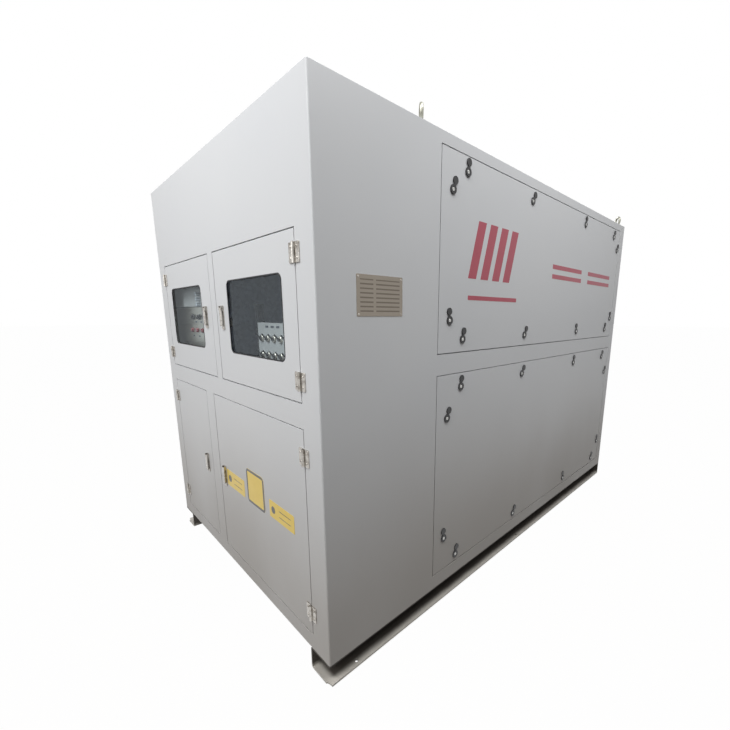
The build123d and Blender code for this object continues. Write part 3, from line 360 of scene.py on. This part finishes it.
marker = Finish("engraved_marker", {"Specular IOR Level": 0.4})
marker.feed("Base Color", marker.blend(marker.noise(200), colour(62, 64, 70), colour(78, 80, 88)))
marker.feed("Roughness", 0.4 + marker.noise(500) * 0.1)
marker.relief((marker.noise(500), 0.0001))

marker_size = Vector((0.026, 0.0012, 0.009))
marker_rounding = 0.0003


def stick_marker(name, corner):
    """A small dark marker on a panel, given by its lowest corner."""
    plate = block(name, corner, corner + marker_size, marker_rounding, marker)
    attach(plate, "enclosure")


control_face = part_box("control_plate")[0].y
knob_marker_z, lamp_marker_z = 1.361, 1.282
knob_markers = [(-0.468, knob_marker_z), (-0.385, knob_marker_z)]
lamp_markers = [(-0.527, lamp_marker_z), (-0.433, lamp_marker_z)]
for number, (x, z) in enumerate(knob_markers + lamp_markers):
    to_corner = Vector((marker_size.x / 2, marker_size.y, marker_size.z / 2))
    stick_marker(f"control_marker_{number + 1}", Vector((x, control_face, z)) - to_corner)

switch_panel_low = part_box("switch_panel")[0]
switch_marker_x, switch_marker_pitch, switch_marker_z = 0.281, 0.05, 1.347
for number in range(3):
    x = switch_marker_x + number * switch_marker_pitch
    corner = Vector((x, switch_panel_low.y - marker_size.y, switch_marker_z))
    stick_marker(f"switch_marker_{number + 1}", corner)

# Cables rise beside the switch panel in a black trunking that clips to its edge.
trunking_width, trunking_depth, trunking_top = 0.019, 0.035, 1.45
trunking_gap, trunking_rounding = 0.001, 0.002
trunking_right = switch_panel_low.x - trunking_gap
trunking_front = switch_panel_low.y + trunking_gap
trunking_low = (trunking_right - trunking_width, trunking_front, switch_panel_low.z + trunking_gap)
trunking_high = (trunking_right, trunking_front + trunking_depth, trunking_top)
trunking = block("cable_trunking", trunking_low, trunking_high, trunking_rounding, knob_black)
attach(trunking, "enclosure")

# ------------------------------------------------------------------ door windows
# Each upper door has a clear perspex window behind a cut-out with round corners.
# A black rubber edging runs round the cut-out and covers the cut sheet.

perspex = Finish("clear_perspex", {"Base Color": colour(236, 240, 244), "Metallic": 1.0})
smear = perspex.part(perspex.noise(3, detail=5, stretch=(1, 1, 0.3)), 0.35, 0.8)
perspex.feed("Roughness", 0.02 + smear * 0.05)
glance = perspex.node("ShaderNodeLayerWeight", {}, {"Blend": 0.3}, "Fresnel")
clear = perspex.node("ShaderNodeBsdfTransparent", {}, {"Color": colour(244, 248, 250)})
shine = Wire(perspex, perspex.shader.outputs[0])
mirror_share = 0.01 + glance * 0.07 + smear * 0.01
perspex.show(perspex.node("ShaderNodeMixShader", {}, {0: mirror_share, 1: clear, 2: shine}))
dress("perspex", perspex)

rubber = Finish("black_rubber", {"Specular IOR Level": 0.35})
rubber_bloom = rubber.noise(45, detail=4)
rubber.feed("Base Color", rubber.blend(rubber_bloom, colour(24, 25, 28), colour(42, 43, 46)))
rubber.feed("Roughness", 0.5 + rubber_bloom * 0.2)
rubber.relief((rubber.noise(400), 0.00015))


def rounded_outline(width, height, corner, steps):
    """Points and outward directions round a rectangle with round corners, centred on zero."""
    ring = []
    for quarter, (across, up) in enumerate([(1, 1), (-1, 1), (-1, -1), (1, -1)]):
        middle = Vector((across * (width / 2 - corner), up * (height / 2 - corner)))
        for step in range(steps + 1):
            angle = math.pi / 2 * (quarter + step / steps)
            outward = Vector((math.cos(angle), math.sin(angle)))
            ring.append((middle + outward * corner, outward))
    return ring


def swept_ring(mesh, ring, profile, to_space):
    """Sweeps a closed profile of (outward, forward) points round a ring, into a mesh."""
    rows = []
    for point, outward in ring:
        row = [mesh.verts.new(to_space(*(point + outward * out), forward)) for out, forward in profile]
        rows.append(row)
    for here, there in zip(rows, rows[1:] + rows[:1]):
        for side in range(len(profile)):
            after = (side + 1) % len(profile)
            mesh.faces.new((here[side], here[after], there[after], there[side]))


window_corner = 0.028
perspex_overlap = 0.014
edging_width = 0.0055
edging_rise = 0.0009
edging_shoulder = edging_rise * 0.4
edging_fit = 0.0001
door_sheet = 0.002
for side in ("left", "right"):
    low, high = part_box(f"window_upper_{side}")
    middle = (low + high) / 2
    door_face = low.y - door_sheet
    outline = rounded_outline(
        high.x - low.x - 2 * (perspex_overlap + edging_fit),
        high.z - low.z - 2 * (perspex_overlap + edging_fit),
        window_corner,
        steps=8,
    )
    edging_profile = [
        (0, edging_fit - door_sheet),
        (0, edging_shoulder),
        (-edging_width * 0.25, edging_rise),
        (-edging_width * 0.75, edging_rise),
        (-edging_width, edging_shoulder),
        (-edging_width, edging_fit - door_sheet),
    ]
    edging_mesh = bmesh.new()
    swept_ring(
        edging_mesh,
        outline,
        edging_profile,
        lambda across, up, forward: (middle.x + across, door_face - forward, middle.z + up),
    )
    edging = finished(f"window_edging_{side}", edging_mesh, rubber)
    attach(edging, f"door_upper_{side}")

# ------------------------------------------------------------ hinges and handles
# Cast zinc hinges and lift handles are polished and chrome plated. Each hinge leaf
# is held by two socket screws, and each handle by one below its lever.

chrome = Finish("chrome_plate", {"Metallic": 1.0})
# The darker patches are painted dark reflection, which the white surroundings don't give the chrome. They
# are also rougher, as smudges.
smudge_and_painted_reflection = chrome.part(chrome.noise(60, detail=4), 0.4, 0.75)
chrome.feed("Base Color", chrome.blend(smudge_and_painted_reflection, colour(186, 182, 176), colour(138, 132, 124)))
chrome.feed("Roughness", 0.12 + smudge_and_painted_reflection * 0.16)
chrome.relief((chrome.noise(150, detail=2), 0.0002))
dress("chrome", chrome)


def turned(mesh, centre, forward, across, profile, sides=20):
    """Turns a profile of (radius, height) points about an axis at centre, into a mesh."""
    forward, across = Vector(forward), Vector(across)
    up = forward.cross(across)
    centre = Vector(centre)
    rings = []
    for radius, height in profile:
        start = centre + forward * height
        ring = []
        for side in range(sides):
            angle = 2 * math.pi * side / sides
            reach = across * math.cos(angle) + up * math.sin(angle)
            ring.append(mesh.verts.new(start + reach * radius))
        rings.append(ring)
    for here, there in zip(rings, rings[1:]):
        for side in range(sides):
            after = (side + 1) % sides
            mesh.faces.new((here[side], here[after], there[after], there[side]))
    mesh.faces.new(rings[0])
    mesh.faces.new(rings[-1])


socket_screw = [
    (0.0045, 0),
    (0.0045, 0.0009),
    (0.0036, 0.0018),
    (0.0022, 0.0020),
    (0.0020, 0.0019),
    (0.0018, 0.0006),
]
front = (0, -1, 0)
rightward = (1, 0, 0)
hinge_axis_x = 0.750
hinge_screw_reach = 0.0195
hinge_screw_pitch = 0.036
leaf_thickness = 0.0045
handle_base_thickness = 0.005
handle_screw_drop = 0.007
hinge_heights = {"upper": (1.179, 1.599), "lower": (0.270, 0.905)}
door_names = ("upper_left", "upper_right", "lower_left", "lower_right")
frame_screws = bmesh.new()
for name in door_names:
    tier, side = name.split("_")
    outward = 1 if side == "right" else -1
    door_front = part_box(f"door_{name}")[0].y
    door_screws = bmesh.new()
    leaf_face = door_front - leaf_thickness
    for height in hinge_heights[tier]:
        for rise in (-hinge_screw_pitch / 2, hinge_screw_pitch / 2):
            on_frame = (outward * (hinge_axis_x + hinge_screw_reach), leaf_face, height + rise)
            on_door = (outward * (hinge_axis_x - hinge_screw_reach), leaf_face, height + rise)
            turned(frame_screws, on_frame, front, rightward, socket_screw)
            turned(door_screws, on_door, front, rightward, socket_screw)
    lever_low, lever_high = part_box(f"handle_{name}")
    handle_x = (lever_low.x + lever_high.x) / 2
    screw_place = (handle_x, door_front - handle_base_thickness, lever_low.z - handle_screw_drop)
    turned(door_screws, screw_place, front, rightward, socket_screw)
    screws = finished(f"screws_{name}", door_screws, chrome)
    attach(screws, f"door_{name}")
screws = finished("screws_hinge_frame", frame_screws, chrome)
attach(screws, "enclosure")

# -------------------------------------------------------------- plates on the door
# Three enamelled yellow plates are stuck to the lower right door: a square one with
# a black border, and on each side a long one with a black disc and two black rules.

yellow_enamel = Finish("yellow_enamel", {"Coat Weight": 0.4, "Coat Roughness": 0.15})
faded = yellow_enamel.noise(24, detail=5)
yellow_enamel.feed("Base Color", yellow_enamel.blend(faded, colour(222, 190, 52), colour(208, 176, 48)))
yellow_enamel.feed("Roughness", 0.34 + faded * 0.14)
yellow_enamel.relief((yellow_enamel.noise(300), 0.0001))

black_enamel = Finish("black_enamel", {"Coat Weight": 0.4, "Coat Roughness": 0.15})
dulled = black_enamel.noise(30, detail=5)
black_enamel.feed("Base Color", black_enamel.blend(dulled, colour(22, 22, 24), colour(44, 43, 42)))
black_enamel.feed("Roughness", 0.32 + dulled * 0.18)
black_enamel.relief((black_enamel.noise(300), 0.0001))


def slab(mesh, ring, to_space, thickness, rounding):
    """A flat plate within an outline, its front edge rounded, into a mesh."""
    levels = [(0, 0), (0, thickness - rounding), (-rounding, thickness)]
    rows = [
        [mesh.verts.new(to_space(*(point + outward * out), forward)) for point, outward in ring]
        for out, forward in levels
    ]
    for here, there in zip(rows, rows[1:]):
        for spot in range(len(ring)):
            after = (spot + 1) % len(ring)
            mesh.faces.new((here[spot], here[after], there[after], there[spot]))
    mesh.faces.new(rows[0])
    mesh.faces.new(rows[-1])


door_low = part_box("door_lower_right")[0]
plate_thickness, plate_rounding, plate_corner = 0.0008, 0.0003, 0.004
trim_thickness, trim_rounding = 0.0004, 0.0002


def on_lower_door(across_middle, up_middle, lift=0.0):
    """Places plate coordinates on the lower right door's face, from its lower left corner."""
    return lambda across, up, forward: (
        door_low.x + across_middle + across,
        door_low.y - lift - forward,
        door_low.z + up_middle + up,
    )


def stick_on(name, meshes):
    """Finishes each (suffix, mesh, finish) of a plate and sticks it to the lower right door."""
    for suffix, mesh, finish in meshes:
        piece = finished(f"{name}_{suffix}", mesh, finish)
        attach(piece, "door_lower_right")


# Each long plate's middle across and up the door, its width and its height.
long_plates = {"left": (0.195, 0.4175, 0.210, 0.085), "right": (0.659, 0.424, 0.208, 0.078)}
rule_thickness, rule_corner = 0.0028, 0.0009
for name, (across, up, width, height) in long_plates.items():
    outline = rounded_outline(width, height, plate_corner, 3)
    base = bmesh.new()
    slab(base, outline, on_lower_door(across, up), plate_thickness, plate_rounding)
    dark = bmesh.new()
    disc_size, disc_radius = height * 0.42, height * 0.2099
    disc = rounded_outline(disc_size, disc_size, disc_radius, 6)
    on_disc = on_lower_door(across - width / 2 + height * 0.44, up, plate_thickness)
    slab(dark, disc, on_disc, trim_thickness, trim_rounding)
    rule = rounded_outline(width * 0.46, rule_thickness, rule_corner, 2)
    for line in (-1, 1):
        on_line = on_lower_door(across + width * 0.14, up + line * height * 0.17, plate_thickness)
        slab(dark, rule, on_line, trim_thickness, trim_rounding)
    stick_on(f"door_plate_{name}", [("base", base, yellow_enamel), ("marks", dark, black_enamel)])

square_across, square_up = 0.4215, 0.4565
square_width, square_height, square_corner = 0.176, 0.166, 0.018
border_outside, border_inside, border_slope = 0.0005, 0.0117, 0.0002
outline = rounded_outline(square_width, square_height, square_corner, 6)
base = bmesh.new()
slab(base, outline, on_lower_door(square_across, square_up), plate_thickness, plate_rounding)
border = bmesh.new()
border_profile = [
    (-border_outside, 0),
    (-border_outside - border_slope, trim_thickness),
    (-border_inside + border_slope, trim_thickness),
    (-border_inside, 0),
]
swept_ring(border, outline, border_profile, on_lower_door(square_across, square_up, plate_thickness))
stick_on("door_plate_square", [("base", base, yellow_enamel), ("border", border, black_enamel)])

# ------------------------------------------------------------ side covers' locks
# Each cover is held by twelve black quarter-turn locks. A zinc plug sits in each
# recess, and the rubber dust caps hang open on their straps.

lock_black = Finish("lock_black", {"Specular IOR Level": 0.5})
lock_grain = lock_black.noise(500)
lock_black.feed("Base Color", lock_black.blend(lock_black.noise(20), colour(20, 20, 22), colour(33, 33, 35)))
lock_black.feed("Roughness", 0.38 + lock_grain * 0.16)
lock_black.relief((lock_grain, 0.0002))
dress("lock_plastic", lock_black)

plug_zinc = Finish("plug_zinc", {"Metallic": 0.9})
plug_wear = plug_zinc.noise(260, detail=4)
plug_zinc.feed("Base Color", plug_zinc.blend(plug_wear, colour(178, 178, 176), colour(206, 206, 203)))
plug_zinc.feed("Roughness", 0.3 + plug_wear * 0.2)
plug_zinc.relief((plug_wear, 0.0002))

plug_profile = [
    (0.0074, 0),
    (0.0074, 0.0016),
    (0.0066, 0.0024),
    (0.0036, 0.0024),
    (0.0034, 0.0006),
]
recess_floor = 0.002
lock_columns = (0.171, 0.751, 1.494, 2.070)
side_columns = (0.073, 2.168)
lock_rows = {"lower": (0.038, 0.906), "upper": (0.056, 0.751)}
side_rows = {"lower": (0.169, 0.771), "upper": (0.141, 0.664)}
for tier in ("lower", "upper"):
    for side, outward in (("right", 1), ("left", -1)):
        low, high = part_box(f"cover_{side}_{tier}")
        face = high.x if outward > 0 else low.x
        plugs = bmesh.new()
        places = [(y, z) for y in lock_columns for z in lock_rows[tier]]
        places += [(y, z) for y in side_columns for z in side_rows[tier]]
        for y, z in places:
            centre = (face + outward * recess_floor, low.y + y, low.z + z)
            turned(plugs, centre, (outward, 0, 0), (0, 1, 0), plug_profile, sides=16)
        piece = finished(f"lock_plugs_{side}_{tier}", plugs, plug_zinc)
        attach(piece, f"cover_{side}_{tier}")

# ------------------------------------------------ nameplate and painted red marks
# A thin steel plate, etched with plain dark lines in two columns, is riveted to the
# right side by the front corner. The upper cover carries plain stripes in red paint.

nameplate_steel = Finish("nameplate_steel", {"Metallic": 0.9})
wall_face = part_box("side_wall_right")[1].x
nameplate_y, nameplate_z = -1.181, 1.4685
nameplate_width, nameplate_height = 0.218, 0.141
nameplate_thickness, nameplate_rounding, nameplate_corner = 0.001, 0.0003, 0.004
etched_half_width, etched_half_height, etched_edge = 0.094, 0.056, 0.0005
column_left_end, column_right_start = nameplate_y - 0.034, nameplate_y - 0.022
line_pitch, line_height = 0.0152, 0.0052
along, upward = nameplate_steel.axis("Y"), nameplate_steel.axis("Z")


def beyond(value, edge, way):
    """A mask of the nameplate from an edge on, in the way that 1 or -1 gives."""
    return nameplate_steel.part(value, edge, edge + way * etched_edge)


lines = upward % line_pitch < line_height
inside_y = beyond(along, nameplate_y - etched_half_width, 1)
inside_y = inside_y * beyond(along, nameplate_y + etched_half_width, -1)
inside_z = beyond(upward, nameplate_z - etched_half_height, 1)
inside_z = inside_z * beyond(upward, nameplate_z + etched_half_height, -1)
columns = beyond(along, column_left_end, -1) + beyond(along, column_right_start, 1)
etched = lines * inside_y * inside_z * columns
plate_grain = nameplate_steel.noise(900, detail=2, stretch=(1, 0.02, 1))
plate_tone = nameplate_steel.blend(plate_grain, colour(128, 120, 108), colour(146, 139, 130))
nameplate_steel.feed("Base Color", nameplate_steel.blend(etched * 0.6, plate_tone, colour(74, 66, 58)))
nameplate_steel.feed("Roughness", 0.3 + plate_grain * 0.14 + etched * 0.15)
nameplate_steel.relief((etched * -1, 0.0001))


def on_wall(across, up, forward):
    """Places nameplate coordinates on the right side wall, facing outward."""
    return (wall_face + forward, nameplate_y + across, nameplate_z + up)


nameplate = bmesh.new()
nameplate_outline = rounded_outline(nameplate_width, nameplate_height, nameplate_corner, 3)
slab(nameplate, nameplate_outline, on_wall, nameplate_thickness, nameplate_rounding)
rivets = bmesh.new()
rivet_profile = [(0.0032, 0), (0.003, 0.0007), (0.002, 0.0013), (0.0008, 0.0015)]
rivet_inset = 0.008
for across in (-1, 1):
    for up in (-1, 1):
        y = nameplate_y + across * (nameplate_width / 2 - rivet_inset)
        z = nameplate_z + up * (nameplate_height / 2 - rivet_inset)
        rivet_foot = (wall_face + nameplate_thickness, y, z)
        turned(rivets, rivet_foot, (1, 0, 0), (0, 1, 0), rivet_profile, sides=12)
for name, mesh, finish in (("nameplate", nameplate, nameplate_steel), ("nameplate_rivets", rivets, chrome)):
    piece = finished(name, mesh, finish)
    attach(piece, "enclosure")

sign_red = Finish("sign_red", {"Specular IOR Level": 0.5})
sign_fade = sign_red.noise(8, detail=5)
sign_red.feed("Base Color", sign_red.blend(sign_fade, colour(158, 58, 74), colour(172, 76, 92)))
sign_red.feed("Roughness", 0.34 + sign_fade * 0.14)
sign_red.relief((sign_red.noise(240, detail=3), 0.0001))

cover_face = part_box("cover_right_upper")[1].x
paint_film = 0.0003
sign = bmesh.new()


def stripe(middle_y, middle_z, width, height, lean=0.0):
    """A red painted stripe, straight or leaning by so much over its height, into the sign."""
    half_width, half_height = width / 2, height / 2
    corners = [(-1, -1), (1, -1), (1, 1), (-1, 1)]
    levels = []
    for coat_with_painted_shade in (0, paint_film):
        ring = []
        for across, up in corners:
            y = middle_y + across * half_width + up * lean / 2
            ring.append(sign.verts.new((cover_face + coat_with_painted_shade, y, middle_z + up * half_height)))
        levels.append(ring)
    for corner in range(4):
        after = (corner + 1) % 4
        sign.faces.new((levels[0][corner], levels[0][after], levels[1][after], levels[1][corner]))
    sign.faces.new(levels[0])
    sign.faces.new(levels[1])


bar_count, bar_pitch = 4, 0.098
bar_width, bar_height, bar_lean = 0.062, 0.25, 0.07
bars_y, bars_z = -0.445, 1.690
for number in range(bar_count):
    bar_y = bars_y + (number - (bar_count - 1) / 2) * bar_pitch
    stripe(bar_y, bars_z, bar_width, bar_height, bar_lean)
underline_y, underline_z = -0.436, 1.4805
underline_length, underline_thickness = 0.436, 0.020
stripe(underline_y, underline_z, underline_length, underline_thickness)
band_middles, band_length, band_thickness = (0.420, 0.985), 0.450, 0.026
bands_z, bands_offset = 1.6605, 0.028
for middle in band_middles:
    for level in (-1, 1):
        stripe(middle, bands_z + level * bands_offset, band_length, band_thickness)
piece = finished("painted_stripes", sign, sign_red)
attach(piece, "cover_right_upper")

# ------------------------------------------------------------------ lifting eyes
# Five forged eye bolts are screwed through the roof, zinc plated and a little dull
# where slings have rubbed them.

eye_zinc = Finish("plated_eye", {"Metallic": 0.95})
rubbed = eye_zinc.part(eye_zinc.noise(45, detail=5), 0.35, 0.7)
eye_zinc.feed("Base Color", eye_zinc.blend(rubbed, colour(172, 172, 160), colour(132, 130, 120)))
eye_zinc.feed("Roughness", 0.3 + rubbed * 0.25)
eye_zinc.relief((eye_zinc.noise(300, detail=3), 0.0002))
dress("eye_steel", eye_zinc)

# --------------------------------------------------------------- floor and lights
# The floor and the sky show white to the eye, and give little light of their own to
# the bank. Four soft lamps light it: two in front, one high at the right side, and
# one behind for the far views.


def seen_share(nodes):
    """1 for what the eye sees, also mirrored or through a window, and 0 for light on the bank."""
    camera_ray = nodes.node("ShaderNodeLightPath", {}, {}, "Is Camera Ray")
    glossy_ray = nodes.node("ShaderNodeLightPath", {}, {}, "Is Glossy Ray")
    through_ray = nodes.node("ShaderNodeLightPath", {}, {}, "Is Transmission Ray")
    return camera_ray.maths("MAXIMUM", camera_ray.maths("MAXIMUM", camera_ray, glossy_ray), through_ray)


floor_paint = Finish("studio_floor", {"Roughness": 0.9, "Specular IOR Level": 0.1})
floor_tone = floor_paint.noise(0.7, detail=3)
floor_paint.feed("Base Color", floor_paint.blend(floor_tone, colour(80, 73, 63), colour(86, 79, 68)))
floor_glow = floor_paint.node("ShaderNodeEmission", {}, {"Color": (1, 1, 1, 1), "Strength": 1.06})
glow_share = seen_share(floor_paint) * 0.93
floor_matt = Wire(floor_paint, floor_paint.shader.outputs[0])
floor_paint.show(floor_paint.node("ShaderNodeMixShader", {}, {0: glow_share, 1: floor_matt, 2: floor_glow}))
floor_reach = 60
floor_drop = 0.0005
floor_mesh = bmesh.new()
bmesh.ops.create_grid(floor_mesh, x_segments=8, y_segments=8, size=floor_reach)
floor = finished("studio_floor", floor_mesh, floor_paint)
floor.location.z = -floor_drop

world = bpy.data.worlds.new("soft_sky")
world.use_nodes = True
bpy.context.scene.world = world
sky = Nodes(world.node_tree)
dim_sky = sky.node("ShaderNodeBackground", {}, {"Color": (0.93, 0.96, 1.0, 1), "Strength": 0.2})
white_sky = sky.node("ShaderNodeBackground", {}, {"Color": (1, 1, 1, 1), "Strength": 1.0})
sky.show(sky.node("ShaderNodeMixShader", {}, {0: seen_share(sky), 1: dim_sky, 2: white_sky}))


def lamp(name, place, target, size, power):
    """A square soft lamp at place, aimed at target."""
    light = bpy.data.lights.new(name, "AREA")
    light.shape = "SQUARE"
    light.size = size
    light.energy = power
    stand = bpy.data.objects.new(name, light)
    bpy.context.scene.collection.objects.link(stand)
    stand.location = place
    stand.rotation_euler = (Vector(target) - Vector(place)).to_track_quat("-Z", "Y").to_euler()


lamp("front_lamp", (0.7, -4.0, 4.3), (0.0, -1.4, 1.5), size=2.4, power=165)
lamp("low_front_lamp", (0.2, -7.0, 2.4), (0.0, -1.4, 1.7), size=2.4, power=62)
lamp("side_lamp", (2.4, -0.5, 4.4), (0.9, -0.2, 2.1), size=2.2, power=108)
lamp("rear_lamp", (-3.8, 4.8, 4.4), (-0.4, 0.6, 1.2), size=3.5, power=240)

# ------------------------------------------------------------------------ camera
# The bank is seen from chest height at its right front corner, from close by through
# a wide lens tipped a little down, so its near corner looms and both walls run away.

lens = bpy.data.cameras.new("corner_view")
lens.lens = 18.73
lens.sensor_width = 36
lens.shift_x = -0.0485
lens.shift_y = 0.0352
camera_place = (1.896, -2.110, 1.404)
heading, tilt, roll = math.radians(45.17), math.radians(78.70), math.radians(0.19)
camera = bpy.data.objects.new("corner_view", lens)
bpy.context.scene.collection.objects.link(camera)
camera.matrix_world = (
    Matrix.Translation(camera_place)
    @ Matrix.Rotation(heading, 4, "Z")
    @ Matrix.Rotation(tilt, 4, "X")
    @ Matrix.Rotation(roll, 4, "Z")
)
bpy.context.scene.camera = camera
bpy.context.scene.view_settings.view_transform = "Standard"
